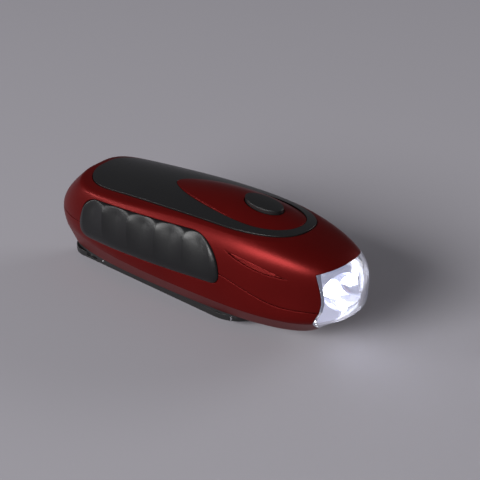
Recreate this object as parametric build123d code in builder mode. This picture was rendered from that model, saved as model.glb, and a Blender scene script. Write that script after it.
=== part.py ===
from build123d import *
import os
from math import acos, cos, pi, radians, sin, sqrt, tan

# Hand crank flashlight. Millimetres, +X is the nose, +Y the left side, +Z up. The origin is on
# the table under the middle of the casing, which lies on the flat underside of its crank arm.
os.makedirs("parts", exist_ok=True)

# ---------------------------------------------------------------- driving sizes
# Casing
casing_length = 119.0
casing_width = 37.6
sill_height = 6.6            # lower edge of the red casing above the table
crease_height = 13.4         # crease where the underside chamfer meets the flank
shell_wall = 1.6
split_tail_rise = 7.7        # parting line above the crease: at the tail,
split_grip_rise = 11.3       # behind the front of the grip,
split_nose_rise = 5.0        # and at the lens
split_grip_x = 12.0
split_nose_x = 43.0
crown_radius = 38.0          # side to side curve of the roof
shoulder_radius = 2.5        # rounding between the flanks and the roof
groove_width = 0.3           # shadow line along the parting line

# Top inlay, island and button
inlay_ledge = 1.1            # red ledge left round the inlay
inlay_thickness = 1.3
inlay_proud = 0.3
inlay_gap = 0.15
island_tail_x = -11.8
island_nose_x = 36.8
island_widest_x = 20.9
island_half_width = 9.8
island_rise = 1.9            # middle of the island above the roof
island_edge_rise = 0.45
island_crown_radius = 17.5
button_x = 22.5
button_length = 13.6
button_width = 7.6
button_proud = 1.15
button_wall = 1.0
button_travel = 1.2
button_gap = 0.3
button_flange = 1.0

# Side grips
grip_proud = 1.1
grip_seat = 0.55             # depth of the grip pockets, the parting groove and the gills
grip_gap = 0.12
scallop_pitch = 11.45
scallop_middle_x = -11.6
scallop_depth = 0.75
scallop_ring_radius = 17.0   # smaller than the flank's curve, so that the scallops fade out
grip_edge_radius = 0.9
scallop_count = 5

# Lens, reflector and lamps
lens_gap = 0.05
reflector_gap = 0.2
lamp_board_x = 45.4
lamp_board_thickness = 1.2
lamp_radius = 2.5
lamp_length = 7.0
lamp_pair_y = 4.8
lamp_pair_height = 24.0
lamp_low_height = 15.3
cup_mouth_radius = 5.4

# Crank
hub_x = 13.0
hub_radius = 12.0
arm_tail_x = -48.2
arm_tail_radius = 8.0
arm_thickness = 5.0
arm_chamfer_height = 3.1
arm_chamfer_width = 5.0
arm_clearance = 0.4          # running gap between the arm and the base plate
base_plate_inset = 0.5
shaft_radius = 2.5
shaft_fit = 0.05
drive_block_length = 13.0
drive_block_x = 14.0
drive_block_width = 10.0
drive_block_height = 3.4
cross_pin_radius = 0.9
cross_pin_x = 17.5
cross_pin_height = 3.9
bush_radius = 4.5
bush_flange_radius = 6.0
bush_flange_thickness = 1.0

# Fold-out knob
knob_hinge_x = -50.5
knob_radius = 2.4
knob_length = 16.4
knob_post_radius = 1.2
knob_fit = 0.05
hinge_pin_radius = 0.8
knob_eye_radius = 2.2
knob_head_radius = 1.9
knob_head_thickness = 0.9
slot_side_gap = 0.4
slot_end_gap = 0.7
nail_notch_radius = 3.0
nail_notch_x = -44.5

# Gear train
gear_module = 0.5
drive_teeth = 48
pinion_teeth = 12
gear_a_teeth = 36
gear_b_teeth = 30
gear_thickness = 2.2
gear_backlash = 0.12
axle_radius = 1.0
axle_fit = 0.05
rotor_shaft_radius = 0.75
layer_gap = 0.4              # axial gap between neighbouring gears
gearbox_plate_thickness = 1.2

# Generator
magnet_radius = 7.4
magnet_height = 7.6
air_gap = 0.6
can_radius = 12.0
can_height = 7.2
can_wall = 0.8

# Battery
cell_radius = 6.0
cell_thickness = 4.8
cell_count = 3
cell_height = 16.8
cell_front_x = -41.2
contact_thickness = 0.4

# Main board and switch
board_height = 29.2
board_thickness = 1.2
board_tail_x = -12.0
board_nose_x = 32.0
board_width = 26.0
switch_size = 6.0
switch_height = 2.6
plunger_radius = 1.5

# Screws
case_screw_radius = 1.1
case_screw_head_radius = 2.0
case_post_radius = 2.3
front_screw_x = 36.0
front_screw_y = 6.0
rear_screw_x = -37.0
rear_screw_y = 8.2
screw_clearance = 0.1

# ---------------------------------------------------------------- derived places
half_length = casing_length / 2
drive_pitch_radius = gear_module * drive_teeth / 2
pinion_pitch_radius = gear_module * pinion_teeth / 2
gear_a_pitch_radius = gear_module * gear_a_teeth / 2
gear_b_pitch_radius = gear_module * gear_b_teeth / 2
gear_a_x = hub_x - drive_pitch_radius - pinion_pitch_radius
gear_b_x = gear_a_x - gear_a_pitch_radius - pinion_pitch_radius
rotor_x = gear_b_x - gear_b_pitch_radius - pinion_pitch_radius
floor_height = sill_height + shell_wall
base_plate_bottom = arm_thickness + arm_clearance
axial_gap = layer_gap / 2
drive_bottom = floor_height + bush_flange_thickness + layer_gap
drive_top = drive_bottom + gear_thickness
wheel_a_bottom = drive_top + layer_gap
wheel_a_top = wheel_a_bottom + gear_thickness
pinion_b_bottom = wheel_a_bottom - axial_gap
wheel_b_bottom = wheel_a_top + layer_gap
wheel_b_top = wheel_b_bottom + gear_thickness
gear_a_seat = drive_bottom - axial_gap
gear_b_seat = pinion_b_bottom - axial_gap
rotor_seat = wheel_b_bottom - 1.6
rotor_foot = rotor_seat - 1.2
gearbox_bottom = wheel_b_top + 1.0
gearbox_top = gearbox_bottom + gearbox_plate_thickness
can_top = gearbox_top + can_height
bridge_thickness = 1.2
bridge_top = can_top + bridge_thickness
board_top = board_height + board_thickness
lamp_board_front = lamp_board_x + lamp_board_thickness
crown_reach = casing_width / 2 + 5.0
far = casing_length


# ---------------------------------------------------------------- casing form
# Plan outlines. Each row holds the height, how far the outline stands in from the casing's
# length at the tail and nose and from its width at each side, where it is widest, and how
# square its tail and its nose are (2 is an ellipse).
sill_row = (sill_height, 3.0, 13.7, 6.0, 7.3, 2.6, 2.4)
flank_rows = [
    (crease_height, 0.0, 5.1, 0.6, 14.0, 2.4, 2.5),
    (crease_height + 6.1, 0.7, 0.5, 0.0, 8.5, 2.8, 2.3),
    (crease_height + 12.1, 3.1, 0.0, 0.0, 5.0, 3.0, 2.25),
    (crease_height + 16.8, 7.2, 1.9, 0.7, 4.5, 3.4, 2.35),
    (crease_height + 20.6, 11.2, 7.8, 2.1, 6.5, 3.9, 2.45),
    (crease_height + 23.9, 14.9, 18.5, 4.7, 10.4, 4.4, 2.4),
    (crease_height + 26.8, 19.5, 33.5, 8.8, 10.4, 4.4, 2.4),
]
# Roof line above the crease, along the middle of the casing
roof_line = [(-62.0, 21.8), (-30.0, 24.1), (0.0, 26.1), (30.0, 25.5), (62.0, 19.2)]


def oval_quarter(reach, half_width, power, steps=5):
    """Points of a quarter of a squared oval, from its tip on the X axis to its side."""
    points = []
    for step in range(steps + 1):
        angle = pi / 2 * step / steps
        scale = (abs(cos(angle)) ** power + sin(angle) ** power) ** (-1 / power)
        points.append((reach * cos(angle) * scale, half_width * sin(angle) * scale))
    return points


def half_outline(tail, nose, widest, half_width, tail_power, nose_power):
    """Far half of a plan outline, one smooth line from the tail tip to the nose tip."""
    tail_part = [(widest - x, y) for x, y in oval_quarter(widest - tail, half_width, tail_power)]
    nose_part = [(widest + x, y) for x, y in oval_quarter(nose - widest, half_width, nose_power)]
    return tail_part + nose_part[-2::-1]


def row_half(row, inset):
    """Far half of one row of the casing, drawn inset from the outside."""
    height, tail_in, nose_in, side_in, widest, tail_power, nose_power = row
    return half_outline(-half_length + tail_in + inset, half_length - nose_in - inset, widest,
                        casing_width / 2 - side_in - inset, tail_power, nose_power)


def half_sketch(points, height):
    """Far half of a closed outline at a height: a smooth line, square to the X axis at its ends."""
    with BuildSketch(Plane.XY.offset(height)) as outline:
        with BuildLine():
            Spline(*points, tangents=[(0, 1), (0, -1)], tangent_scalars=[1, 1])
            Line(points[-1], points[0])
        make_face()
    return outline.sketch


def casing_row(row, inset):
    """Far half of one plan outline of the casing. Rows above the crease sink as they shrink."""
    rise = max(row[0] - crease_height, 0.0)
    full_rise = flank_rows[-1][0] - crease_height
    return half_sketch(row_half(row, inset), row[0] - inset * rise / full_rise)


def crowned_solid(line, radius):
    """Everything under a crowned roof: a middle line along X and one side to side radius."""
    edge_drop = radius - sqrt(radius ** 2 - min(crown_reach, radius * 0.98) ** 2)
    reach = min(crown_reach, radius * 0.98)
    sections = []
    for x, height in line:
        with BuildSketch(Plane.YZ.offset(x)) as section:
            with BuildLine():
                ThreePointArc((-reach, height - edge_drop), (0, height), (reach, height - edge_drop))
                Polyline((reach, height - edge_drop), (reach, 0), (-reach, 0),
                         (-reach, height - edge_drop))
            make_face()
        sections.append(section.sketch)
    with BuildPart() as under:
        loft(sections)
    return under.part


def roof_solid(drop):
    """Everything under the casing's roof, lowered by a drop."""
    return crowned_solid([(x, crease_height + rise - drop) for x, rise in roof_line], crown_radius)


def casing_form(inset, roof_drop=None):
    """The casing as one closed form, drawn inset from the outside."""
    chamfer_rows = [casing_row(sill_row, inset), casing_row(flank_rows[0], inset)]
    flank = [casing_row(row, inset) for row in flank_rows]
    under_roof = roof_solid(inset if roof_drop is None else roof_drop)
    with BuildPart() as form:
        loft(chamfer_rows, ruled=True)
        loft(flank)
        add(under_roof, mode=Mode.INTERSECT)
        mirror(about=Plane.XZ)
    return form.part


# Outside of the casing, with a soft shoulder where the flanks meet the roof
with BuildPart() as outer:
    add(casing_form(0.0))
    roof_halves = outer.faces().sort_by(Axis.Z)[-2:]
    roof_rim = [edge for edge in roof_halves.edges() if abs((edge @ 0.5).Y) > 1.0]
    fillet(roof_rim, radius=shoulder_radius)
outer_form = outer.part
cavity_form = casing_form(shell_wall, shell_wall + inlay_thickness)

# Cavity above the floor of the lower shell
with BuildPart() as cavity:
    add(cavity_form)
    split(bisect_by=Plane.XY.offset(floor_height), keep=Keep.TOP)

# Parting line between the two shells
with BuildPart() as above_split:
    with BuildSketch(Plane.XZ):
        with BuildLine():
            parting = Spline(
                (-far, crease_height + split_tail_rise),
                (-half_length + 18.0, crease_height + split_tail_rise),
                (split_grip_x, crease_height + split_grip_rise),
                (split_nose_x, crease_height + split_nose_rise),
                (far, crease_height + split_nose_rise),
                tangents=[(1, 0), (1, 0), (1, 0), (1, 0), (1, 0)])
            Polyline(parting @ 1, (far, far), (-far, far), parting @ 0)
        make_face()
    extrude(amount=casing_width, both=True)

# Side outline of the lens: a sharp upper corner, a bowed back edge and a low tip
lens_corner = (49.8, 30.4)
lens_waist = (51.9, 20.6)
lens_knee = (51.5, 18.2)
lens_tip = (45.6, sill_height - 1.0)
lens_upper_height = 56.0     # the upper edge climbs to this height at the far end of the cut


def lens_prism(gap):
    """Nose region in front of the lens's edge, held back by a gap."""
    with BuildPart() as region:
        with BuildSketch(Plane.XZ):
            with BuildLine():
                back = ThreePointArc(lens_corner, (51.4, 25.6), lens_waist)
                Line(lens_waist, lens_knee)
                Line(lens_knee, lens_tip)
                Polyline(lens_tip, (far, lens_tip[1]), (far, lens_upper_height), lens_corner)
            make_face()
        extrude(amount=casing_width, both=True)
    return Pos(gap, 0, 0) * region.part


# ---------------------------------------------------------------- top inlay and island
inlay_row = flank_rows[5]


def inlay_prism(gap):
    """Column with the inlay's outline."""
    points = half_outline(-half_length + inlay_row[1] + inlay_ledge + gap,
                          half_length - inlay_row[2] - inlay_ledge - gap, inlay_row[4],
                          casing_width / 2 - inlay_row[3] - inlay_ledge + 0.6 - gap,
                          inlay_row[5], inlay_row[6])
    with BuildPart() as prism:
        add(extrude(half_sketch(points, crease_height), amount=casing_width))
        mirror(about=Plane.XZ)
    return prism.part


def island_prism(gap):
    """Column with the island's teardrop outline."""
    points = half_outline(island_tail_x - gap, island_nose_x + gap, island_widest_x,
                          island_half_width + gap, 1.7, 2.07)
    with BuildPart() as prism:
        add(extrude(half_sketch(points, crease_height), amount=casing_width))
        mirror(about=Plane.XZ)
    return prism.part


island_top_line = [
    (-40.0, crease_height + 22.6),
    (island_tail_x, crease_height + 25.4 + island_edge_rise),
    (12.0, crease_height + 26.3 + island_rise),
    (island_nose_x, crease_height + 24.65 + island_edge_rise),
    (62.0, crease_height + 18.0),
]
inlay_pocket = inlay_prism(0.0) - roof_solid(inlay_thickness)

# ---------------------------------------------------------------- side grips
grip_corners = [(-43.8, 16.4), (19.2, 20.0), (18.6, 35.0), (-37.5, 31.8)]
grip_corner_radii = [5.0, 3.0, 11.0, 8.0]


def grip_prism(gap, side):
    """Side outline of a grip pushed out from the middle of the casing to one side."""
    with BuildPart() as prism:
        with BuildSketch(Plane.XZ) as outline:
            with BuildLine():
                Polyline(*grip_corners, close=True)
            make_face()
            for corner, radius in zip(grip_corners, grip_corner_radii):
                fillet(outline.vertices().sort_by_distance(corner)[0], radius=radius)
            if gap:
                offset(amount=gap)
        extrude(amount=-side * casing_width)
    return prism.part


grip_skin = casing_form(-grip_proud)
grip_bed = casing_form(grip_seat)

# Finger scallops: rings about a line along X inside the casing, so that they follow the flank
scallop_radius = scallop_pitch ** 2 / (8 * scallop_depth)
with BuildPart() as right_scallops:
    ring_axis_y = -casing_width / 2 + scallop_ring_radius
    with BuildSketch(Plane.XY.offset(crease_height + 9.0)):
        for number in range(scallop_count):
            x = scallop_middle_x + (number - (scallop_count - 1) / 2) * scallop_pitch
            reach = scallop_ring_radius + grip_proud - scallop_depth + scallop_radius
            with Locations((x, ring_axis_y - reach)):
                Circle(scallop_radius)
    revolve(axis=Axis((0, ring_axis_y, crease_height + 9.0), (1, 0, 0)), revolution_arc=360)


with BuildPart() as grip_right:
    add(grip_skin)
    add(grip_bed, mode=Mode.SUBTRACT, clean=False)
    add(grip_prism(0.0, -1), mode=Mode.INTERSECT, clean=False)
    fillet(grip_right.faces().sort_by(Axis.Y)[0].edges(), radius=grip_edge_radius)
    add(right_scallops.part, mode=Mode.SUBTRACT, clean=False)
grip_right.part.label = "grip_right"
export_step(grip_right.part, "parts/grip_right.step")

with BuildPart() as grip_left:
    add(mirror(grip_right.part, about=Plane.XZ))
grip_left.part.label = "grip_left"
export_step(grip_left.part, "parts/grip_left.step")

grip_pockets = (outer_form - grip_bed) & (grip_prism(grip_gap, 1) + grip_prism(grip_gap, -1))


# ---------------------------------------------------------------- screw places
def post(places, radius, low, high):
    """Upright round posts at several places, between two heights."""
    with BuildPart() as posts:
        with BuildSketch(Plane.XY.offset(low)):
            with Locations(*places):
                Circle(radius)
        extrude(amount=high - low)
    return posts.part


front_places = [(front_screw_x, front_screw_y), (front_screw_x, -front_screw_y)]
rear_places = [(rear_screw_x, rear_screw_y), (rear_screw_x, -rear_screw_y)]
post_joint_height = crease_height + 4.4      # where lower and upper posts meet
screw_tip_height = post_joint_height + 6.0
countersink_depth = 1.2
gearbox_post_radius = 1.8
gearbox_places = [(26.5, 8.0), (26.5, -8.0), (rotor_x - can_radius - gearbox_post_radius, 0.0)]
gearbox_screw_radius = 0.8
gearbox_screw_tip = gearbox_top - 5.0
board_post_radius = 1.8
board_screw_radius = 0.8
small_head_radius = 1.5
small_head_depth = 1.0
board_places = [(board_tail_x + 3.0, 10.0), (board_tail_x + 3.0, -10.0),
                (board_nose_x - 3.0, 9.0), (board_nose_x - 3.0, -9.0)]


def screws(places, head_height, tip_height, radius, head_radius, head_depth):
    """Countersunk screws driven upwards, one at each place."""
    with BuildPart() as group:
        for place in places:
            with BuildSketch(Plane.XZ.offset(-place[1])):
                with BuildLine():
                    Polyline((place[0], head_height), (place[0] + head_radius, head_height),
                             (place[0] + radius, head_height + head_depth),
                             (place[0] + radius, tip_height), (place[0], tip_height),
                             close=True)
                make_face()
            revolve(axis=Axis((place[0], place[1], 0), (0, 0, 1)))
    return group.part


case_front_screws = screws(front_places, sill_height, screw_tip_height, case_screw_radius,
                           case_screw_head_radius, countersink_depth)
case_rear_screws = screws(rear_places, base_plate_bottom, screw_tip_height, case_screw_radius,
                          case_screw_head_radius, countersink_depth)
with BuildPart() as case_screws:
    add(case_front_screws)
    add(case_rear_screws)
case_screws.part.label = "case_screws"
export_step(case_screws.part, "parts/case_screws.step")

# ---------------------------------------------------------------- shells
with BuildPart() as parting_groove:
    add(Pos(0, 0, -groove_width) * above_split.part)
    add(above_split.part, mode=Mode.SUBTRACT, clean=False)
    add(grip_bed, mode=Mode.SUBTRACT, clean=False)

with BuildPart() as lower_shell:
    add(outer_form)
    add(above_split.part, mode=Mode.SUBTRACT, clean=False)
    add(cavity.part, mode=Mode.SUBTRACT, clean=False)
    add(post(front_places + rear_places, case_post_radius, floor_height - 0.2, post_joint_height))
    add(post(gearbox_places, gearbox_post_radius, floor_height - 0.2, gearbox_bottom))
    for axle_x, boss_top in ((gear_a_x, gear_a_seat), (gear_b_x, gear_b_seat), (rotor_x, rotor_seat)):
        add(post([(axle_x, 0)], axle_radius + 1.2, floor_height - 0.2, boss_top))
    add(post([(gear_a_x, 0), (gear_b_x, 0)], axle_radius, floor_height - 1.0, gearbox_top),
        mode=Mode.SUBTRACT, clean=False)
    add(post([(rotor_x, 0)], rotor_shaft_radius + axle_fit, rotor_foot, gearbox_top),
        mode=Mode.SUBTRACT, clean=False)
    add(post([(hub_x, 0)], bush_radius, sill_height, floor_height), mode=Mode.SUBTRACT, clean=False)
    add(post(gearbox_places, gearbox_screw_radius, gearbox_screw_tip, gearbox_top),
        mode=Mode.SUBTRACT, clean=False)
    add(grip_pockets, mode=Mode.SUBTRACT, clean=False)
    add(lens_prism(-lens_gap), mode=Mode.SUBTRACT, clean=False)
    add(case_screws.part, mode=Mode.SUBTRACT, clean=False)
    add(parting_groove.part, mode=Mode.SUBTRACT, clean=False)
lower_shell.part.label = "lower_shell"
export_step(lower_shell.part, "parts/lower_shell.step")

gill_upper = [(20.4, 31.9), (30.8, 30.4), (42.2, 27.8)]
gill_lower = [(20.4, 31.9), (29.4, 28.8), (42.2, 27.8)]
with BuildPart() as gills:
    with BuildSketch(Plane.XZ):
        with BuildLine():
            ThreePointArc(*gill_upper)
            ThreePointArc(*gill_lower)
        make_face()
    extrude(amount=casing_width, both=True)
    add(grip_bed, mode=Mode.SUBTRACT, clean=False)

island_crown = crowned_solid(island_top_line, island_crown_radius)
island_body = (island_prism(0.0) & island_crown) - roof_solid(inlay_thickness + 0.5)
button_top_line = [(x, height + button_proud) for x, height in island_top_line]


def button_column(grow, low, high):
    """Upright oval column round the button's centre."""
    with BuildPart() as column:
        with BuildSketch(Plane.XY.offset(low)):
            with Locations((button_x, 0)):
                Ellipse(button_length / 2 + grow, button_width / 2 + grow)
        extrude(amount=high - low)
    return column.part


flange_bottom = board_top + switch_height + button_travel + 0.2
flange_top = flange_bottom + button_flange
with BuildPart() as upper_shell:
    add(outer_form)
    add(above_split.part, mode=Mode.INTERSECT, clean=False)
    add(cavity.part, mode=Mode.SUBTRACT, clean=False)
    add(inlay_pocket, mode=Mode.SUBTRACT, clean=False)
    add(island_body)
    add(post(front_places + rear_places, case_post_radius, post_joint_height, crease_height + 26)
        & cavity_form)
    add(post(board_places, board_post_radius, board_top, crease_height + 26) & cavity_form)
    add(button_column(button_gap, flange_bottom, crease_height + 40), mode=Mode.SUBTRACT, clean=False)
    add(grip_pockets, mode=Mode.SUBTRACT, clean=False)
    add(gills.part, mode=Mode.SUBTRACT, clean=False)
    add(lens_prism(-lens_gap), mode=Mode.SUBTRACT, clean=False)
    add(case_screws.part, mode=Mode.SUBTRACT, clean=False)
    add(post(board_places, board_screw_radius, board_top, board_top + 4.0), mode=Mode.SUBTRACT, clean=False)
upper_shell.part.label = "upper_shell"
export_step(upper_shell.part, "parts/upper_shell.step")

# ---------------------------------------------------------------- top inlay
with BuildPart() as top_inlay:
    add(inlay_prism(inlay_gap))
    add(roof_solid(-inlay_proud), mode=Mode.INTERSECT, clean=False)
    add(roof_solid(inlay_thickness), mode=Mode.SUBTRACT, clean=False)
    add(island_prism(inlay_gap), mode=Mode.SUBTRACT, clean=False)
top_inlay.part.label = "top_inlay"
export_step(top_inlay.part, "parts/top_inlay.step")

# ---------------------------------------------------------------- button and switch
button_roof = crease_height + 26.6
with BuildPart() as button:
    add(button_column(0.0, flange_bottom, crease_height + 40.0))
    add(crowned_solid(button_top_line, island_crown_radius), mode=Mode.INTERSECT)
    add(button_column(button_gap + 0.5, flange_bottom, flange_top))
    add(button_column(-button_wall, flange_bottom, button_roof), mode=Mode.SUBTRACT)
    add(post([(button_x, 0)], plunger_radius, flange_bottom, button_roof))
button.part.label = "button"
export_step(button.part, "parts/button.step")

plunger_bottom = board_top + button_travel + 0.1
with BuildPart() as switch_plunger:
    add(post([(button_x, 0)], plunger_radius, plunger_bottom, flange_bottom))
switch_plunger.part.label = "switch_plunger"
export_step(switch_plunger.part, "parts/switch_plunger.step")

with BuildPart() as push_switch:
    with BuildSketch(Plane.XY.offset(board_top)):
        with Locations((button_x, 0)):
            Rectangle(switch_size, switch_size)
            Circle(plunger_radius + screw_clearance, mode=Mode.SUBTRACT)
    extrude(amount=switch_height)
push_switch.part.label = "push_switch"
export_step(push_switch.part, "parts/push_switch.step")

with BuildPart() as main_board:
    with BuildSketch(Plane.XY.offset(board_height)) as board_outline:
        with Locations(((board_tail_x + board_nose_x) / 2, 0)):
            RectangleRounded(board_nose_x - board_tail_x, board_width, 1.5)
        with Locations(*board_places):
            Circle(board_screw_radius, mode=Mode.SUBTRACT)
    extrude(amount=board_thickness)
main_board.part.label = "main_board"
export_step(main_board.part, "parts/main_board.step")

capacitor_radius = 4.0
capacitor_height = 7.0
capacitor_x = 4.0
with BuildPart() as capacitor:
    add(post([(capacitor_x, 0)], capacitor_radius, board_height - capacitor_height, board_height))
    fillet(capacitor.faces().sort_by(Axis.Z)[0].edges(), radius=0.6)
capacitor.part.label = "capacitor"
export_step(capacitor.part, "parts/capacitor.step")

chip_size = (5.0, 4.0, 1.4)
chip_places = [(-5.0, 5.0), (-5.0, -5.0), (8.0, 0.0)]
with BuildPart() as rectifier_chips:
    with BuildSketch(Plane.XY.offset(board_top)):
        with Locations(*chip_places):
            Rectangle(chip_size[0], chip_size[1])
    extrude(amount=chip_size[2])
rectifier_chips.part.label = "rectifier_chips"
export_step(rectifier_chips.part, "parts/rectifier_chips.step")

with BuildPart() as board_screws:
    add(post(board_places, board_screw_radius, board_height, board_top + 4.0))
    add(post(board_places, small_head_radius, board_height - small_head_depth, board_height))
board_screws.part.label = "board_screws"
export_step(board_screws.part, "parts/board_screws.step")

# ---------------------------------------------------------------- lens, reflector, lamps
with BuildPart() as lens:
    add(outer_form)
    add(cavity_form, mode=Mode.SUBTRACT, clean=False)
    add(lens_prism(lens_gap), mode=Mode.INTERSECT, clean=False)
lens.part.label = "lens"
export_step(lens.part, "parts/lens.step")

lamp_places = [(lamp_pair_y, lamp_pair_height), (-lamp_pair_y, lamp_pair_height),
               (0.0, lamp_low_height)]
lamp_names = ["lamp_left", "lamp_right", "lamp_low"]
nose_inside = casing_form(shell_wall + reflector_gap)
reflector_bottom = floor_height + 1.0
reflector_top = 31.4
reflector_step = 1.4


def lamp_axis(place):
    """Line along X through a lamp."""
    return Axis((0, place[0], place[1]), (1, 0, 0))


def cup(place):
    """Bowl in front of one lamp, opening towards the nose."""
    y, height = place
    with BuildPart() as bowl:
        with BuildSketch(Plane.XY.offset(height)):
            with BuildLine():
                start = (lamp_board_front - 1.0, y)
                throat = (lamp_board_front + reflector_step, y + lamp_radius + 0.15)
                mouth = (half_length + 1.0, y + cup_mouth_radius)
                Polyline(start, (start[0], throat[1]), throat)
                ThreePointArc(throat, (lamp_board_front + 4.0, y + cup_mouth_radius - 1.0), mouth)
                Polyline(mouth, (mouth[0], y), start)
            make_face()
        revolve(axis=lamp_axis(place))
    return bowl.part


with BuildPart() as reflector:
    with BuildSketch(Plane.XZ):
        with BuildLine():
            Polyline((lamp_board_front, reflector_bottom), (half_length, reflector_bottom),
                     (half_length, reflector_top), (lamp_board_front, reflector_top), close=True)
        make_face()
    extrude(amount=casing_width, both=True)
    add(nose_inside, mode=Mode.INTERSECT, clean=False)
    for lamp_place in lamp_places:
        add(cup(lamp_place), mode=Mode.SUBTRACT, clean=False)
reflector.part.label = "reflector"
export_step(reflector.part, "parts/reflector.step")

with BuildPart() as lamp_board:
    with BuildSketch(Plane.YZ.offset(lamp_board_x)):
        with Locations((0, (reflector_bottom + reflector_top) / 2)):
            RectangleRounded(18.0, reflector_top - reflector_bottom, 2.0)
    extrude(amount=lamp_board_thickness)
    add(nose_inside, mode=Mode.INTERSECT)
lamp_board.part.label = "lamp_board"
export_step(lamp_board.part, "parts/lamp_board.step")


def lamp(place):
    """One round-nosed lamp standing on the lamp board."""
    y, height = place
    shoulder = lamp_board_front + lamp_length - lamp_radius
    with BuildPart() as body:
        with BuildSketch(Plane.XY.offset(height)):
            with BuildLine():
                Polyline((shoulder, y + lamp_radius), (lamp_board_front, y + lamp_radius),
                         (lamp_board_front, y), (shoulder + lamp_radius, y))
                RadiusArc((shoulder + lamp_radius, y), (shoulder, y + lamp_radius), -lamp_radius)
            make_face()
        revolve(axis=lamp_axis(place))
    return body


for lamp_name, lamp_place in zip(lamp_names, lamp_places):
    lamp_body = lamp(lamp_place)
    lamp_body.part.label = lamp_name
    export_step(lamp_body.part, f"parts/{lamp_name}.step")

# ---------------------------------------------------------------- crank arm and its shaft
crank_arm_seat = arm_thickness - drive_block_height


def arm_outline(inset, height):
    """Teardrop outline of the arm: a round hub end and a smaller round tail end."""
    with BuildSketch(Plane.XY.offset(height)) as outline:
        with Locations((hub_x, 0)):
            Circle(hub_radius - inset)
        with Locations((arm_tail_x, 0)):
            Circle(arm_tail_radius - inset)
        make_hull()
    return outline.sketch


knob_axis_height = arm_thickness / 2
slot_half_width = knob_radius + slot_side_gap
slot_tail_x = knob_hinge_x - knob_eye_radius - slot_end_gap
sleeve_tail_x = knob_hinge_x + knob_eye_radius + 0.5
sleeve_nose_x = sleeve_tail_x + knob_length
knob_head_x = sleeve_nose_x + 0.2
slot_nose_x = knob_head_x + knob_head_thickness + slot_end_gap
cross_pin_reach = sqrt(hub_radius ** 2 - (cross_pin_x - hub_x) ** 2) - 0.1
hinge_pin_reach = arm_tail_radius - 1.5


def side_pin(x, height, radius, reach):
    """Round pin across the width."""
    with BuildPart() as pin:
        with BuildSketch(Plane.XZ):
            with Locations((x, height)):
                Circle(radius)
        extrude(amount=reach, both=True)
    return pin.part


def drive_block():
    """Flat key on the crankshaft's foot that seats in the arm."""
    with BuildPart() as block:
        with BuildSketch(Plane.XY.offset(crank_arm_seat)):
            with Locations((drive_block_x, 0)):
                RectangleRounded(drive_block_length, drive_block_width, 1.5)
        extrude(amount=drive_block_height)
    return block.part


cross_pin_body = side_pin(cross_pin_x, cross_pin_height, cross_pin_radius, cross_pin_reach)
hinge_pin_body = side_pin(knob_hinge_x, knob_axis_height, hinge_pin_radius, hinge_pin_reach)

with BuildPart() as crank_arm:
    loft([arm_outline(arm_chamfer_width, 0.0), arm_outline(0.0, arm_chamfer_height)], ruled=True)
    add(extrude(arm_outline(0.0, arm_chamfer_height), amount=arm_thickness - arm_chamfer_height))
    with BuildSketch(Plane.XY):
        with Locations(((slot_tail_x + slot_nose_x) / 2, 0)):
            Rectangle(slot_nose_x - slot_tail_x, 2 * slot_half_width)
    extrude(amount=arm_thickness, mode=Mode.SUBTRACT)
    with BuildSketch(Plane.XY.offset(arm_chamfer_height + 0.6)):
        with Locations((nail_notch_x, arm_tail_radius + 1.8), (nail_notch_x, -arm_tail_radius - 1.8)):
            Circle(nail_notch_radius)
    extrude(amount=arm_thickness, mode=Mode.SUBTRACT)
    add(drive_block(), mode=Mode.SUBTRACT)
    add(cross_pin_body, mode=Mode.SUBTRACT)
    add(hinge_pin_body, mode=Mode.SUBTRACT)
crank_arm.part.label = "crank_arm"
export_step(crank_arm.part, "parts/crank_arm.step")

journal_radius = 1.5
with BuildPart() as crankshaft:
    add(drive_block())
    add(post([(hub_x, 0)], shaft_radius, arm_thickness - 0.5, gearbox_bottom - axial_gap))
    add(post([(hub_x, 0)], journal_radius, gearbox_bottom - axial_gap, gearbox_top))
    add(cross_pin_body, mode=Mode.SUBTRACT)
crankshaft.part.label = "crankshaft"
export_step(crankshaft.part, "parts/crankshaft.step")

for pin_name, pin_body in (("cross_pin", cross_pin_body), ("knob_hinge_pin", hinge_pin_body)):
    with BuildPart() as pin_part:
        add(pin_body)
    pin_part.part.label = pin_name
    export_step(pin_part.part, f"parts/{pin_name}.step")

with BuildPart() as crank_bush:
    add(post([(hub_x, 0)], bush_radius, base_plate_bottom, floor_height))
    add(post([(hub_x, 0)], bush_flange_radius, floor_height, floor_height + bush_flange_thickness))
    add(post([(hub_x, 0)], shaft_radius + shaft_fit, base_plate_bottom, drive_bottom),
        mode=Mode.SUBTRACT)
crank_bush.part.label = "crank_bush"
export_step(crank_bush.part, "parts/crank_bush.step")

base_plate_front_radius = hub_radius + 2.3
with BuildPart() as base_plate:
    add(extrude(half_sketch(row_half(sill_row, base_plate_inset), base_plate_bottom),
                amount=sill_height - base_plate_bottom))
    mirror(about=Plane.XZ)
    with BuildSketch(Plane.XY.offset(base_plate_bottom)):
        with Locations((hub_x, 0)):
            Circle(base_plate_front_radius)
        with Locations((hub_x - half_length, 0)):
            Rectangle(casing_length, casing_width)
    extrude(amount=sill_height - base_plate_bottom, mode=Mode.INTERSECT)
    add(post([(hub_x, 0)], bush_radius, base_plate_bottom, sill_height), mode=Mode.SUBTRACT)
    add(case_screws.part, mode=Mode.SUBTRACT)
base_plate.part.label = "base_plate"
export_step(base_plate.part, "parts/base_plate.step")

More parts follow.
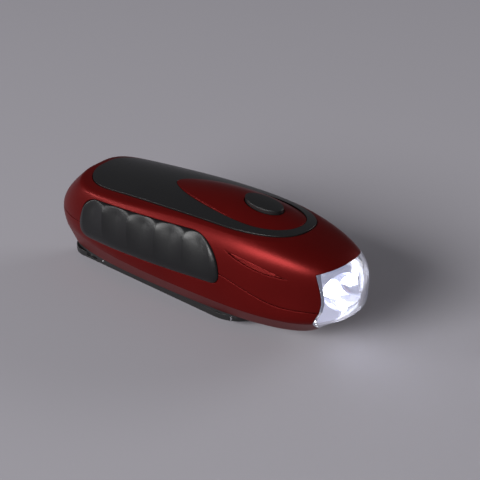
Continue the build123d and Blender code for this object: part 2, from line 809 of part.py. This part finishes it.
# ---------------------------------------------------------------- fold-out knob
with BuildPart() as knob_post:
    add(side_pin(knob_hinge_x, knob_axis_height, knob_eye_radius, slot_half_width - 0.15))
    with BuildSketch(Plane.YZ.offset(knob_hinge_x)):
        with Locations((0, knob_axis_height)):
            Circle(knob_post_radius)
    extrude(amount=knob_head_x - knob_hinge_x)
    with BuildSketch(Plane.YZ.offset(knob_head_x)):
        with Locations((0, knob_axis_height)):
            Circle(knob_head_radius)
    extrude(amount=knob_head_thickness)
    add(side_pin(knob_hinge_x, knob_axis_height, hinge_pin_radius + knob_fit, slot_half_width),
        mode=Mode.SUBTRACT)
knob_post.part.label = "knob_post"
export_step(knob_post.part, "parts/knob_post.step")

ring_groove_depth = 0.35
ring_groove_width = 1.2
ring_groove_count = 5
with BuildPart() as knob_sleeve:
    with BuildSketch(Plane.YZ.offset(sleeve_tail_x)):
        with Locations((0, knob_axis_height)):
            Circle(knob_radius)
    extrude(amount=knob_length)
    chamfer(knob_sleeve.edges().filter_by(GeomType.CIRCLE), length=0.4)
    ring_groove_pitch = knob_length / (ring_groove_count + 1)
    for number in range(ring_groove_count):
        middle = sleeve_tail_x + ring_groove_pitch * (number + 1)
        with BuildSketch(Plane.YZ.offset(middle - ring_groove_width / 2)):
            with Locations((0, knob_axis_height)):
                Circle(knob_radius)
                Circle(knob_radius - ring_groove_depth, mode=Mode.SUBTRACT)
        extrude(amount=ring_groove_width, mode=Mode.SUBTRACT)
    with BuildSketch(Plane.YZ.offset(sleeve_tail_x)):
        with Locations((0, knob_axis_height)):
            Circle(knob_post_radius + knob_fit)
    extrude(amount=knob_length, mode=Mode.SUBTRACT)
knob_sleeve.part.label = "knob_sleeve"
export_step(knob_sleeve.part, "parts/knob_sleeve.step")

# ---------------------------------------------------------------- gear train
pressure_angle = radians(20.0)
tooth_addendum = 0.75 * gear_module
tooth_dedendum = 1.0 * gear_module


def tooth_half_angle(teeth, radius):
    """Half the angle that a tooth spans at a radius, on an involute flank."""
    pitch_radius = gear_module * teeth / 2
    base_radius = pitch_radius * cos(pressure_angle)
    at_pitch = pi / (2 * teeth) - gear_backlash / (2 * pitch_radius)
    roll = acos(min(base_radius / radius, 1.0))
    return at_pitch + (tan(pressure_angle) - pressure_angle) - (tan(roll) - roll)


def gear_wheel(teeth, x, low, high, turned=0.0):
    """Toothed wheel standing on the X axis. Its first tooth points along +X plus a turn."""
    pitch_radius = gear_module * teeth / 2
    root = pitch_radius - tooth_dedendum
    tip = pitch_radius + tooth_addendum
    radii = [root, pitch_radius, tip]
    flank = [(radius, tooth_half_angle(teeth, radius)) for radius in radii]
    outline = []
    for number in range(teeth):
        middle = turned + 2 * pi * number / teeth
        rising = [(radius, middle - half) for radius, half in flank]
        falling = [(radius, middle + half) for radius, half in reversed(flank)]
        outline += [(x + radius * cos(angle), radius * sin(angle))
                    for radius, angle in rising + falling]
    with BuildPart() as wheel:
        with BuildSketch(Plane.XY.offset(low)):
            with BuildLine():
                Polyline(*outline, close=True)
            make_face()
        extrude(amount=high - low)
    return wheel.part


half_tooth = pi / pinion_teeth
sleeve_radius = axle_radius + 1.0
with BuildPart() as drive_gear:
    add(gear_wheel(drive_teeth, hub_x, drive_bottom, drive_top))
    add(post([(hub_x, 0)], shaft_radius, drive_bottom, drive_top), mode=Mode.SUBTRACT)
drive_gear.part.label = "drive_gear"
export_step(drive_gear.part, "parts/drive_gear.step")

with BuildPart() as gear_a:
    add(gear_wheel(pinion_teeth, gear_a_x, drive_bottom, wheel_a_bottom, half_tooth))
    add(gear_wheel(gear_a_teeth, gear_a_x, wheel_a_bottom, wheel_a_top))
    add(post([(gear_a_x, 0)], sleeve_radius, wheel_a_top, gearbox_bottom - axial_gap))
    add(post([(gear_a_x, 0)], axle_radius + axle_fit, drive_bottom, gearbox_bottom),
        mode=Mode.SUBTRACT)
gear_a.part.label = "gear_a"
export_step(gear_a.part, "parts/gear_a.step")

with BuildPart() as gear_b:
    add(gear_wheel(pinion_teeth, gear_b_x, pinion_b_bottom, wheel_b_bottom, half_tooth))
    add(gear_wheel(gear_b_teeth, gear_b_x, wheel_b_bottom, wheel_b_top))
    add(post([(gear_b_x, 0)], sleeve_radius, wheel_b_top, gearbox_bottom - axial_gap))
    add(post([(gear_b_x, 0)], axle_radius + axle_fit, pinion_b_bottom, gearbox_bottom),
        mode=Mode.SUBTRACT)
gear_b.part.label = "gear_b"
export_step(gear_b.part, "parts/gear_b.step")

for axle_name, axle_x in (("gear_a_axle", gear_a_x), ("gear_b_axle", gear_b_x)):
    with BuildPart() as axle:
        add(post([(axle_x, 0)], axle_radius, floor_height - 1.0, gearbox_top))
    axle.part.label = axle_name
    export_step(axle.part, f"parts/{axle_name}.step")

rear_post_x = gearbox_places[2][0]
with BuildPart() as gearbox_plate:
    with BuildSketch(Plane.XY.offset(gearbox_bottom)) as plate_outline:
        with Locations((rotor_x, 0)):
            Circle(can_radius + 0.2)
        with Locations((5.0, 0)):
            RectangleRounded(49.0, 21.0, 2.5)
        with Locations(((rotor_x + rear_post_x) / 2, 0)):
            Rectangle(rotor_x - rear_post_x, 2 * gearbox_post_radius)
        with Locations((rear_post_x, 0)):
            Circle(gearbox_post_radius)
        with Locations((rotor_x, 0)):
            Circle(magnet_radius + air_gap, mode=Mode.SUBTRACT)
        with Locations((gear_a_x, 0), (gear_b_x, 0)):
            Circle(axle_radius, mode=Mode.SUBTRACT)
        with Locations((hub_x, 0)):
            Circle(journal_radius + shaft_fit, mode=Mode.SUBTRACT)
        with Locations(*gearbox_places):
            Circle(gearbox_screw_radius, mode=Mode.SUBTRACT)
    extrude(amount=gearbox_plate_thickness)
gearbox_plate.part.label = "gearbox_plate"
export_step(gearbox_plate.part, "parts/gearbox_plate.step")

with BuildPart() as gearbox_screws:
    add(post(gearbox_places, gearbox_screw_radius, gearbox_screw_tip, gearbox_top))
    add(post(gearbox_places, small_head_radius, gearbox_top, gearbox_top + small_head_depth))
gearbox_screws.part.label = "gearbox_screws"
export_step(gearbox_screws.part, "parts/gearbox_screws.step")

# ---------------------------------------------------------------- generator
magnet_bottom = gearbox_bottom + layer_gap
magnet_top = magnet_bottom + magnet_height
rotor_top = bridge_top + 0.2
with BuildPart() as rotor_shaft:
    add(post([(rotor_x, 0)], rotor_shaft_radius, rotor_foot + 0.1, rotor_top))
    add(gear_wheel(pinion_teeth, rotor_x, wheel_b_bottom - axial_gap, wheel_b_top + axial_gap,
                   half_tooth))
rotor_shaft.part.label = "rotor_shaft"
export_step(rotor_shaft.part, "parts/rotor_shaft.step")

with BuildPart() as rotor_magnet:
    add(post([(rotor_x, 0)], magnet_radius, magnet_bottom, magnet_top))
    add(post([(rotor_x, 0)], rotor_shaft_radius, magnet_bottom, magnet_top), mode=Mode.SUBTRACT)
rotor_magnet.part.label = "rotor_magnet"
export_step(rotor_magnet.part, "parts/rotor_magnet.step")


def ring(x, inner, outer, low, high):
    """Upright ring."""
    return post([(x, 0)], outer, low, high) - post([(x, 0)], inner, low, high)


coil_inner_radius = magnet_radius + air_gap + 0.4
can_joint = (gearbox_top + can_top) / 2
can_inner_radius = magnet_radius + air_gap
for can_name, plate_low, wall_low in (("stator_can_lower", gearbox_top, gearbox_top),
                                      ("stator_can_upper", can_top - can_wall, can_joint)):
    with BuildPart() as can:
        add(ring(rotor_x, can_inner_radius, can_radius, plate_low, plate_low + can_wall))
        add(ring(rotor_x, can_radius - can_wall, can_radius, wall_low, wall_low + can_height / 2))
    can.part.label = can_name
    export_step(can.part, f"parts/{can_name}.step")

with BuildPart() as stator_coil:
    add(ring(rotor_x, coil_inner_radius, can_radius - can_wall, gearbox_top + can_wall,
             can_top - can_wall))
stator_coil.part.label = "stator_coil"
export_step(stator_coil.part, "parts/stator_coil.step")

with BuildPart() as rotor_bridge:
    add(post([(rotor_x, 0)], can_radius, can_top, bridge_top))
    add(post([(rotor_x, 0)], 2.5, bridge_top, bridge_top + 0.8))
    add(post([(rotor_x, 0)], rotor_shaft_radius + axle_fit, can_top, bridge_top + 0.4),
        mode=Mode.SUBTRACT)
rotor_bridge.part.label = "rotor_bridge"
export_step(rotor_bridge.part, "parts/rotor_bridge.step")

# ---------------------------------------------------------------- battery
cell_tail_x = cell_front_x - cell_count * cell_thickness


def lying_disc(x, thickness, radius):
    """Disc standing on its edge, its axis along X."""
    with BuildPart() as disc:
        with BuildSketch(Plane.YZ.offset(x)):
            with Locations((0, cell_height)):
                Circle(radius)
        extrude(amount=thickness)
    return disc.part


for number in range(cell_count):
    with BuildPart() as cell:
        add(lying_disc(cell_tail_x + number * cell_thickness, cell_thickness, cell_radius))
        chamfer(cell.edges().filter_by(GeomType.CIRCLE), length=0.5)
    cell.part.label = f"battery_cell_{number + 1}"
    export_step(cell.part, f"parts/battery_cell_{number + 1}.step")

cradle_wall = 0.8
with BuildPart() as battery_cradle:
    with BuildSketch(Plane.XY.offset(floor_height)):
        with Locations(((cell_tail_x + cell_front_x) / 2, 0)):
            Rectangle(cell_front_x - cell_tail_x, 2 * cell_radius + 1.0)
    extrude(amount=cell_height - cell_radius * 0.4 - floor_height)
    add(cavity.part, mode=Mode.INTERSECT)
    add(lying_disc(cell_tail_x - 1.0, cell_front_x - cell_tail_x + 2.0, cell_radius),
        mode=Mode.SUBTRACT)
battery_cradle.part.label = "battery_cradle"
export_step(battery_cradle.part, "parts/battery_cradle.step")

contact_size = 8.0
for contact_name, contact_x in (("contact_front", cell_front_x),
                                ("contact_rear", cell_tail_x - contact_thickness)):
    with BuildPart() as contact:
        with BuildSketch(Plane.YZ.offset(contact_x)):
            with Locations((0, cell_height)):
                RectangleRounded(contact_size, contact_size, 1.0)
        extrude(amount=contact_thickness)
    contact.part.label = contact_name
    export_step(contact.part, f"parts/{contact_name}.step")
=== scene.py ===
import math

import bpy
import numpy as np
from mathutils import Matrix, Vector
from mathutils.bvhtree import BVHTree


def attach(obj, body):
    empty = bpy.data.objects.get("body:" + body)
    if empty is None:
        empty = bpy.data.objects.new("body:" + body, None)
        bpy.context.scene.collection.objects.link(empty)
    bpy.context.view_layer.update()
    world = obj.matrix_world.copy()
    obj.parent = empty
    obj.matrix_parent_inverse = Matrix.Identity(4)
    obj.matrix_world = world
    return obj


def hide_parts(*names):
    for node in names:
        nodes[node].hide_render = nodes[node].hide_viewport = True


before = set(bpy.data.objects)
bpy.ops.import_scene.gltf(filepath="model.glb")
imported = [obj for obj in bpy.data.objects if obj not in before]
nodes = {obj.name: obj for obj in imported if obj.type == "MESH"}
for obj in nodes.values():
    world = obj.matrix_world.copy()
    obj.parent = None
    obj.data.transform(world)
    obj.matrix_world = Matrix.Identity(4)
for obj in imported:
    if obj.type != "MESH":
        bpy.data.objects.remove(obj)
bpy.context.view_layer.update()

bpy.ops.object.select_all(action="DESELECT")
bpy.context.scene.view_settings.view_transform = "Standard"

# ---------------------------------------------------------------- camera
# The photograph's own viewpoint: a long lens, high over the nose on the right side.
camera_azimuth = math.radians(38.0)
camera_height = math.radians(27.82)
camera_distance = 0.4429
camera_target = Vector((0.00457, 0.01091, 0.0184))
half_view = math.radians(10.0)
sensor_width = 36.0
camera_back = Vector((math.sin(camera_azimuth) * math.cos(camera_height),
                      -math.cos(camera_azimuth) * math.cos(camera_height),
                      math.sin(camera_height)))
bpy.ops.object.camera_add(location=camera_target + camera_back * camera_distance)
camera = bpy.context.object
camera.name = "photo_camera"
camera.rotation_euler = camera_back.to_track_quat("Z", "Y").to_euler()
camera.data.sensor_width = sensor_width
camera.data.lens = sensor_width / 2 / math.tan(half_view)
camera.data.clip_start = 0.01
camera.data.clip_end = 20.0
bpy.context.scene.camera = camera

# ---------------------------------------------------------------- floor, backdrop and studio light
# One plain sweep of grey paper. The big soft box stands on the near side and draws the
# highlights along the flank, a small one lights the tail, and a weak one fills the far side.
floor_size = 6.0
lamp_spread = math.radians(100)     # narrow enough to keep the light off the floor by the lamps
bpy.ops.mesh.primitive_plane_add(size=floor_size, location=(0, 0, 0))
floor = bpy.context.object
floor.name = "paper_floor"
paper = bpy.data.materials.new("pale_paper")
paper.use_nodes = True
paper_surface = paper.node_tree.nodes["Principled BSDF"]
paper_surface.inputs["Base Color"].default_value = (0.37, 0.357, 0.39, 1)
paper_surface.inputs["Roughness"].default_value = 0.9
paper_surface.inputs["Specular IOR Level"].default_value = 0.05
floor.data.materials.append(paper)

room = bpy.data.worlds.new("dim_room")
room.use_nodes = True
room.node_tree.nodes["Background"].inputs["Color"].default_value = (0.62, 0.62, 0.66, 1)
room.node_tree.nodes["Background"].inputs["Strength"].default_value = 0.20
bpy.context.scene.world = room

for lamp_name, place, size, power in (
        ("soft_box_right_side", (-0.15, -1.95, 0.95), (1.4, 0.8), 20.0),
        ("soft_box_tail_side", (-1.90, -1.45, 0.50), (0.6, 0.5), 4.5),
        ("soft_box_left_side", (1.00, 1.75, 0.85), (1.3, 0.7), 4.5)):
    bpy.ops.object.light_add(type="AREA", location=place)
    lamp = bpy.context.object
    lamp.name = lamp_name
    lamp.data.shape = "RECTANGLE"
    lamp.data.size, lamp.data.size_y = size
    lamp.data.energy = power
    lamp.data.spread = lamp_spread
    lamp.rotation_euler = Vector(place).to_track_quat("Z", "Y").to_euler()

# ---------------------------------------------------------------- red casing
# Upper and lower shell: moulded plastic sprayed with a satin red metallic lacquer, screwed
# together along a fine parting line.
edge_softness = 0.0002       # radius that the bevel shader gives to sharp edges
blotch_grain = 60.0          # the slow unevenness of the colour
noise_sum_range = (0.6, 1.4)  # where the sum of the two noises mostly lies
noise_range = (0.3, 0.7)     # where one noise mostly lies
gloss_range = (0.9, 1.12)    # how far the roughness strays, as shares of it


def finish(name, colour, rough, grain=3000.0, depth=0.00001, metallic=0.0, coat=0.0,
           darker=0.8, edge=edge_softness):
    """Moulded, sprayed or drawn surface: an uneven colour, a fine grain and softened edges."""
    made = bpy.data.materials.new(name)
    made.use_nodes = True
    tree = made.node_tree
    shader = tree.nodes["Principled BSDF"]
    place = tree.nodes.new("ShaderNodeTexCoord")
    fine = tree.nodes.new("ShaderNodeTexNoise")
    fine.inputs["Scale"].default_value = grain
    fine.inputs["Detail"].default_value = 3.0
    broad = tree.nodes.new("ShaderNodeTexNoise")
    broad.inputs["Scale"].default_value = blotch_grain
    broad.inputs["Detail"].default_value = 2.0
    both = tree.nodes.new("ShaderNodeMath")
    both.operation = "ADD"
    tint = tree.nodes.new("ShaderNodeMapRange")
    tint.data_type = "FLOAT_VECTOR"
    tint.inputs[7].default_value = (noise_sum_range[0],) * 3
    tint.inputs[8].default_value = (noise_sum_range[1],) * 3
    tint.inputs[9].default_value = tuple(part * darker for part in colour)
    tint.inputs[10].default_value = colour
    gloss = tree.nodes.new("ShaderNodeMapRange")
    gloss.inputs["From Min"].default_value = noise_range[0]
    gloss.inputs["From Max"].default_value = noise_range[1]
    gloss.inputs["To Min"].default_value = rough * gloss_range[0]
    gloss.inputs["To Max"].default_value = rough * gloss_range[1]
    rounded = tree.nodes.new("ShaderNodeBevel")
    rounded.samples = 4
    rounded.inputs["Radius"].default_value = edge
    bump = tree.nodes.new("ShaderNodeBump")
    bump.inputs["Strength"].default_value = 1.0
    bump.inputs["Distance"].default_value = depth
    for start, end in ((place.outputs["Object"], fine.inputs["Vector"]),
                       (place.outputs["Object"], broad.inputs["Vector"]),
                       (fine.outputs["Fac"], both.inputs[0]),
                       (broad.outputs["Fac"], both.inputs[1]),
                       (both.outputs[0], tint.inputs[6]),
                       (tint.outputs[1], shader.inputs["Base Color"]),
                       (fine.outputs["Fac"], gloss.inputs["Value"]),
                       (gloss.outputs["Result"], shader.inputs["Roughness"]),
                       (fine.outputs["Fac"], bump.inputs["Height"]),
                       (rounded.outputs["Normal"], bump.inputs["Normal"]),
                       (bump.outputs["Normal"], shader.inputs["Normal"])):
        tree.links.new(start, end)
    shader.inputs["Metallic"].default_value = metallic
    shader.inputs["Coat Weight"].default_value = coat
    shader.inputs["Coat Roughness"].default_value = 0.3
    return made


def dress(material, *names):
    """Give CAD nodes their finish."""
    for name in names:
        nodes[name].data.materials.clear()
        nodes[name].data.materials.append(material)


red_lacquer = finish("red_lacquer", (0.102, 0.0042, 0.0038), 0.34, grain=6000.0,
                     depth=0.000008, metallic=0.5, edge=0.0004)
lacquer_surface = red_lacquer.node_tree.nodes["Principled BSDF"]
lacquer_surface.inputs["Specular IOR Level"].default_value = 0.18
lacquer_surface.inputs["Specular Tint"].default_value = (0.8, 0.5, 0.5, 1)
dress(red_lacquer, "upper_shell", "lower_shell")

# ---------------------------------------------------------------- side grips
# Soft black rubber pads, moulded with five finger scallops that fade out below and glued into
# shallow pockets in the sides of the casing.
pad_corners = ((-0.0438, 0.0164), (0.0192, 0.0200), (0.0186, 0.0350), (-0.0375, 0.0318))
pad_corner_radii = (0.0050, 0.0030, 0.0110, 0.0080)
pad_seat = 0.00053           # depth of the pockets
pad_proud = 0.00106          # height of the rubber above the casing
pad_rim = 0.0034             # width of its rounded rim
pad_grain = 0.00028          # size of the mesh's squares
scallop_count = 5
scallop_pitch = 0.01145
scallop_middle = -0.0116
scallop_dip = 0.00022        # how far a scallop sinks below the casing's surface
ridge_slope = 0.0030         # below the upper edge a ridge swells to its height over this,
scallop_slope = 0.0135       # and the bottom of a scallop over this
scallop_bluntness = 1.6      # 2 makes a scallop a plain arc, less makes the ridges broader
edge_swell = 0.08            # share of its height that the rubber has at its very edge
corner_segments = 8
grip_rubber = finish("grip_rubber", (0.0045, 0.0045, 0.0050), 0.36, grain=4200.0,
                     depth=0.000022, edge=0.0001)
grip_rubber.node_tree.nodes["Principled BSDF"].inputs["Specular IOR Level"].default_value = 0.32

# the pad's outline as a flat sheet in the X-Z plane, its corners rounded one by one
bpy.ops.mesh.primitive_plane_add(size=0.01)
pad = bpy.context.object
pad.name = "rubber_grip_right"
for vertex, corner in zip((pad.data.vertices[i] for i in (0, 1, 3, 2)), pad_corners):
    vertex.co = (corner[0], 0.0, corner[1])
for number, (corner, radius) in enumerate(zip(pad_corners, pad_corner_radii)):
    here = Vector(corner)
    before, after = Vector(pad_corners[number - 1]), Vector(pad_corners[(number + 1) % 4])
    half_angle = (before - here).angle(after - here) / 2
    for part in (*pad.data.vertices, *pad.data.edges, *pad.data.polygons):
        part.select = False
    min(pad.data.vertices, key=lambda vertex: (vertex.co.xz - here).length).select = True
    bpy.ops.object.mode_set(mode="EDIT")
    bpy.ops.mesh.select_mode(type="VERT")
    bpy.ops.mesh.bevel(offset=radius / math.tan(half_angle), segments=corner_segments,
                       affect="VERTICES")
    bpy.ops.object.mode_set(mode="OBJECT")
ring = [pad.data.vertices[i].co.xz for i in pad.data.polygons[0].vertices]
outline = np.array([(point.x, point.y) for point in ring])

# a slab of that outline, cut up into even squares
slab_thickness = 0.0017
bpy.ops.object.mode_set(mode="EDIT")
bpy.ops.mesh.select_all(action="SELECT")
bpy.ops.mesh.extrude_region_move(TRANSFORM_OT_translate={"value": (0, -slab_thickness, 0)})
bpy.ops.mesh.select_all(action="SELECT")
bpy.ops.mesh.normals_make_consistent(inside=False)
bpy.ops.object.mode_set(mode="OBJECT")
even = pad.modifiers.new("even", "REMESH")
even.mode = "VOXEL"
even.voxel_size = pad_grain
bpy.ops.object.modifier_apply(modifier="even")

# the pocket's floor under the slab, as one smooth surface through measured points
probe_start = 0.05           # the rays start this far from the middle of the casing
probe_every = 7              # one vertex in so many is probed
fit_centre, fit_reach = (0.0, 0.025), (0.03, 0.01)
fit_terms = (7, 6)           # powers along and up
fit_outlier = 0.0002         # points further off than this hit a wall and are left out
slope_step = 0.0001
depsgraph = bpy.context.evaluated_depsgraph_get()
shells = [BVHTree.FromObject(nodes[name], depsgraph) for name in ("upper_shell", "lower_shell")]
points = np.array([tuple(vertex.co) for vertex in pad.data.vertices])


def surface_terms(x, z):
    """Powers of the place along and up the pad, for a smooth surface through its floor."""
    along = (x - fit_centre[0]) / fit_reach[0]
    up = (z - fit_centre[1]) / fit_reach[1]
    return np.stack([along ** i * up ** j for i in range(fit_terms[0])
                     for j in range(fit_terms[1])], axis=-1)


def shell_surface(x, z):
    """Distance of the shells' right side from the middle of the casing, None past their edge."""
    hits = [tree.ray_cast(Vector((x, -probe_start, z)), Vector((0, 1, 0))) for tree in shells]
    reach = min((hit[3] for hit in hits if hit[0] is not None), default=None)
    return None if reach is None else probe_start - reach


probes, floors = [], []
for x, z in points[::probe_every, [0, 2]]:
    found = shell_surface(x, z)
    if found is not None:
        probes.append((x, z))
        floors.append(found)
terms = surface_terms(*np.array(probes).T)
floors = np.array(floors)
fit = np.linalg.lstsq(terms, floors, rcond=None)[0]
keep = np.abs(terms @ fit - floors) < fit_outlier
fit = np.linalg.lstsq(terms[keep], floors[keep], rcond=None)[0]


def pocket_floor(x, z):
    """Distance of the pocket's floor from the middle of the casing."""
    return surface_terms(x, z) @ fit


def smooth(value):
    """Soft step from 0 to 1."""
    value = np.clip(value, 0.0, 1.0)
    return value * value * (3 - 2 * value)


x, z = points[:, 0], points[:, 2]
edge_distance = np.full(len(points), 1.0)
for start, end in zip(outline, np.roll(outline, -1, axis=0)):
    span = end - start
    share = np.clip(((x - start[0]) * span[0] + (z - start[1]) * span[1]) / (span @ span), 0, 1)
    gap = np.hypot(x - start[0] - share * span[0], z - start[1] - share * span[1])
    edge_distance = np.minimum(edge_distance, gap)
upper_edge = np.interp(x, (pad_corners[3][0], pad_corners[2][0]),
                       (pad_corners[3][1], pad_corners[2][1]))
below = upper_edge - z
cell = (x - scallop_middle) / scallop_pitch + scallop_count / 2
across = 2 * (cell - np.floor(cell)) - 1
hollow = np.where((cell > 0) & (cell < scallop_count),
                  1 - np.abs(across) ** scallop_bluntness, 0.0)
ridge = smooth(0.5 + 0.5 * below / ridge_slope)
valley = smooth(below / scallop_slope)
rim = np.sqrt(1 - (1 - np.clip(edge_distance / pad_rim, 0, 1)) ** 2)
swell = np.minimum(rim, edge_swell + (1 - edge_swell) * (ridge + (valley - ridge) * hollow))
dip = hollow * smooth(edge_distance / ridge_slope) * (1 - valley)
rise = pad_seat + pad_proud * swell - scallop_dip * dip
slope_x = (pocket_floor(x + slope_step, z) - pocket_floor(x - slope_step, z)) / (2 * slope_step)
slope_z = (pocket_floor(x, z + slope_step) - pocket_floor(x, z - slope_step)) / (2 * slope_step)
stretch = np.sqrt(1 + slope_x ** 2 + slope_z ** 2)
share_out = np.clip(-points[:, 1] / slab_thickness, 0, 1)
outward = pocket_floor(x, z) + share_out * rise * stretch
for vertex, distance in zip(pad.data.vertices, outward):
    vertex.co.y = -distance
bpy.ops.object.shade_smooth()
pad.data.materials.append(grip_rubber)


def face_outward():
    """Turn the active piece's faces outward."""
    bpy.ops.object.mode_set(mode="EDIT")
    bpy.ops.mesh.select_all(action="SELECT")
    bpy.ops.mesh.normals_make_consistent(inside=False)
    bpy.ops.object.mode_set(mode="OBJECT")


def mirrored(name):
    """A copy of the active piece on the casing's other side."""
    bpy.ops.object.duplicate()
    twin = bpy.context.object
    twin.name = name
    for vertex in twin.data.vertices:
        vertex.co.y = -vertex.co.y
    face_outward()
    return twin


left_pad = mirrored("rubber_grip_left")
for grip, replaced in ((pad, "grip_right"), (left_pad, "grip_left")):
    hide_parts(replaced)
    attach(grip, "casing")
bpy.ops.object.select_all(action="DESELECT")

# ---------------------------------------------------------------- gills
# Behind the lens each flank has a crescent-shaped recess, and a thin louvre in it that is moulded
# in one with the upper shell: it rises to a sharp lower lip.
gill_tail, gill_nose = 0.0210, 0.0418
gill_upper_curve = np.polyfit((0.0204, 0.0308, 0.0422), (0.0319, 0.0304, 0.0278), 2)
gill_lower_curve = np.polyfit((0.0204, 0.0294, 0.0422), (0.0319, 0.0288, 0.0278), 2)
lip_place = 0.66             # share of the recess's height from its upper edge to the lip
lip_rise = 0.00066           # height of the lip above the recess's floor
lip_curl = 1.5               # how late the louvre rises towards the lip
lip_taper = 0.5              # how fast the lip rises from the gill's two points
louvre_thickness = 0.0004
louvre_cells = (60, 8)
smooth_below = math.radians(40)
bpy.ops.mesh.primitive_grid_add(x_subdivisions=louvre_cells[0], y_subdivisions=louvre_cells[1],
                                size=1.0)
louvre = bpy.context.object
louvre.name = "gill_louvre_right"
for vertex in louvre.data.vertices:
    along, down = vertex.co.x + 0.5, vertex.co.y + 0.5
    x = gill_tail + (gill_nose - gill_tail) * along
    top = np.polyval(gill_upper_curve, x)
    z = top - (top - np.polyval(gill_lower_curve, x)) * lip_place * down
    swell = math.sin(math.pi * along) ** lip_taper
    vertex.co = (x, -shell_surface(x, z) - lip_rise * swell * down ** lip_curl, z)
face_outward()
thick = louvre.modifiers.new("thick", "SOLIDIFY")
thick.thickness = louvre_thickness
thick.offset = -1.0
bpy.ops.object.modifier_apply(modifier="thick")
bpy.ops.object.shade_smooth_by_angle(angle=smooth_below)
louvre.data.materials.append(red_lacquer)
left_louvre = mirrored("gill_louvre_left")
for piece in (louvre, left_louvre):
    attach(piece, "casing")
bpy.ops.object.select_all(action="DESELECT")

# ---------------------------------------------------------------- top inlay and button
# A black plastic panel let into the roof, and an oval push button of the same black.
inlay_black = finish("inlay_black", (0.0070, 0.0070, 0.0074), 0.3, depth=0.000006)
dress(inlay_black, "top_inlay")
button_black = finish("button_black", (0.0060, 0.0060, 0.0064), 0.4, grain=4200.0, depth=0.000014,
                      edge=0.00045)
dress(button_black, "button", "switch_plunger")

# ---------------------------------------------------------------- crank arm and base
# Glass-filled black nylon with a matt skin; the fold-out knob lies in a slot at the arm's tail.
arm_nylon = finish("arm_nylon", (0.0065, 0.0065, 0.0068), 0.42, grain=2600.0, depth=0.00002,
                   edge=0.0003)
dress(arm_nylon, "crank_arm", "base_plate", "knob_sleeve", "rotor_bridge", "battery_cradle")

# ---------------------------------------------------------------- steel pieces
# Pins, screws, shafts, plates and contacts: plated steel with a faint drawn grain.
plated_steel = finish("plated_steel", (0.56, 0.57, 0.59), 0.28, grain=1800.0, depth=0.000004,
                      metallic=1.0)
dress(plated_steel, "cross_pin", "knob_hinge_pin", "knob_post", "crankshaft", "case_screws",
      "board_screws", "gearbox_screws", "gear_a_axle", "gear_b_axle", "gearbox_plate",
      "rotor_shaft", "stator_can_lower", "stator_can_upper", "contact_front", "contact_rear")
cell_steel = finish("cell_steel", (0.62, 0.62, 0.6), 0.22, grain=900.0, depth=0.000003,
                    metallic=1.0)
dress(cell_steel, "battery_cell_1", "battery_cell_2", "battery_cell_3")

# ---------------------------------------------------------------- gear train
# Moulded acetal wheels, white for the first two and yellow for the last, and a sintered bronze
# bush that the crankshaft turns in.
gear_white = finish("gear_white", (0.78, 0.77, 0.72), 0.42, grain=1500.0, depth=0.000008,
                    darker=0.93)
dress(gear_white, "drive_gear", "gear_a")
gear_yellow = finish("gear_yellow", (0.80, 0.60, 0.14), 0.42, grain=1500.0, depth=0.000008,
                     darker=0.9)
dress(gear_yellow, "gear_b")
sintered_bronze = finish("sintered_bronze", (0.46, 0.27, 0.12), 0.42, grain=5000.0,
                         depth=0.00002, metallic=1.0)
dress(sintered_bronze, "crank_bush")

# ---------------------------------------------------------------- generator
# A ferrite rotor in a coil of lacquered copper wire, closed in by two steel cans.
ferrite = finish("ferrite", (0.06, 0.06, 0.065), 0.5, grain=2500.0, depth=0.00002, metallic=0.3)
dress(ferrite, "rotor_magnet")
wound_copper = finish("wound_copper", (0.62, 0.22, 0.07), 0.3, grain=2500.0, depth=0.00001,
                      metallic=0.9)
dress(wound_copper, "stator_coil")

# ---------------------------------------------------------------- circuit boards
# Green glass-fibre boards, black moulded chips and switch, and a capacitor in a blue sleeve.
board_green = finish("board_green", (0.02, 0.13, 0.045), 0.35, grain=1200.0, depth=0.00001,
                     coat=0.4, darker=0.6)
dress(board_green, "main_board", "lamp_board")
chip_black = finish("chip_black", (0.015, 0.015, 0.016), 0.5, depth=0.00002)
dress(chip_black, "push_switch", "rectifier_chips")
sleeve_blue = finish("sleeve_blue", (0.02, 0.06, 0.22), 0.3, grain=800.0, depth=0.000004,
                     coat=0.3)
dress(sleeve_blue, "capacitor")

# ---------------------------------------------------------------- reflector and lamps
# A vacuum-metallised moulding with a bowl for each lamp, and three clear round-nosed lamps that
# are lit. The moulding itself is given a faint bluish painted glow.
mirror_plating = finish("mirror_plating", (0.86, 0.87, 0.92), 0.12, grain=350.0,
                        depth=0.00012, metallic=1.0, darker=0.95)
mirror_surface = mirror_plating.node_tree.nodes["Principled BSDF"]
# painted glow: the plating gives off faint bluish light of its own, standing in for the lamps'
# light it reflects
mirror_surface.inputs["Emission Color"].default_value = (0.70, 0.72, 1.0, 1)
mirror_surface.inputs["Emission Strength"].default_value = 0.25
dress(mirror_plating, "reflector")
lamp_clear = finish("lamp_clear", (0.92, 0.94, 1.0), 0.1, grain=600.0, depth=0.000002,
                    darker=0.97)
lamp_surface = lamp_clear.node_tree.nodes["Principled BSDF"]
lamp_surface.inputs["Emission Color"].default_value = (0.88, 0.9, 1.0, 1)
lamp_surface.inputs["Emission Strength"].default_value = 5.0
dress(lamp_clear, "lamp_left", "lamp_right", "lamp_low")

# ---------------------------------------------------------------- lens
# One clear moulding that wraps the nose, polished outside, with a faint bluish painted glow.
clear_plastic = finish("clear_plastic", (0.97, 0.98, 1.0), 0.05, grain=500.0, depth=0.000003,
                       darker=0.98)
lens_surface = clear_plastic.node_tree.nodes["Principled BSDF"]
lens_surface.inputs["IOR"].default_value = 1.4
lens_surface.inputs["Transmission Weight"].default_value = 1.0
# painted glow: the lens gives off faint bluish light of its own, standing in for the lamps' light
# scattered in it
lens_surface.inputs["Emission Color"].default_value = (0.72, 0.74, 1.0, 1)
lens_surface.inputs["Emission Strength"].default_value = 0.03
dress(clear_plastic, "lens")
